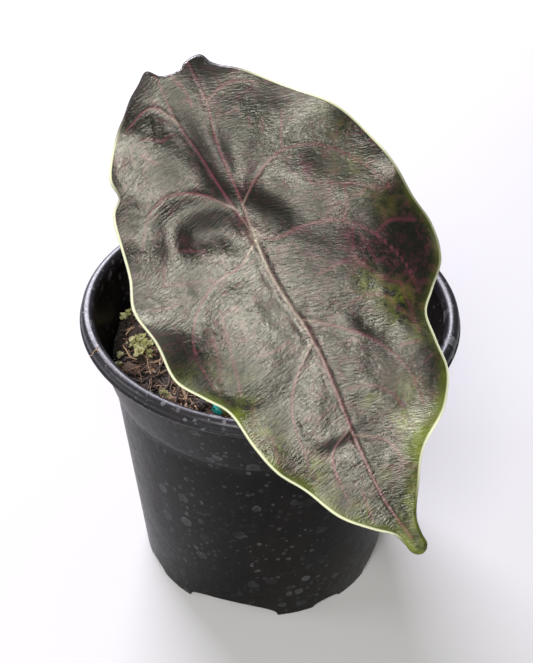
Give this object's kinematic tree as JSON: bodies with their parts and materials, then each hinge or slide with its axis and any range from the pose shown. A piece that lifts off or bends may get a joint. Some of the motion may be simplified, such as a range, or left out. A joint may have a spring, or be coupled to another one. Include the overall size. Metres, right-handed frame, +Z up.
{
  "type": "potted alocasia azlanii",
  "caption": "Young aroid house plant with one large glossy shield-shaped leaf on a curved stalk, standing in potting mix in a round tapered black plastic nursery pot.",
  "frame": {"origin": "middle of the pot's foot, on the flat dish that stands on the ground", "axes": "+Z up along the pot's axis; the leaf leans out over the rim towards -Y, with its tip towards -Y and +X"},
  "size_m": [0.105, 0.1285, 0.162],
  "materials": {
    "pot_plastic": "black moulded polypropylene, satin, with dried water spots",
    "potting_mix": "dark crumbly bark and coir mix, matt, slightly damp",
    "corm_skin": "dull brown papery skin with ring scars",
    "petiole_skin": "smooth waxy plant skin, pale green with brownish mottling",
    "leaf": "thick glossy leaf, dark bronze with pink veins and a cream margin, purple underneath"
  },
  "bodies": {
    "root": {"pot": "pot_plastic", "potting_mix": "potting_mix", "corm": "corm_skin", "petiole": "petiole_skin", "leaf_blade": "leaf"}
  },
  "joints": []
}
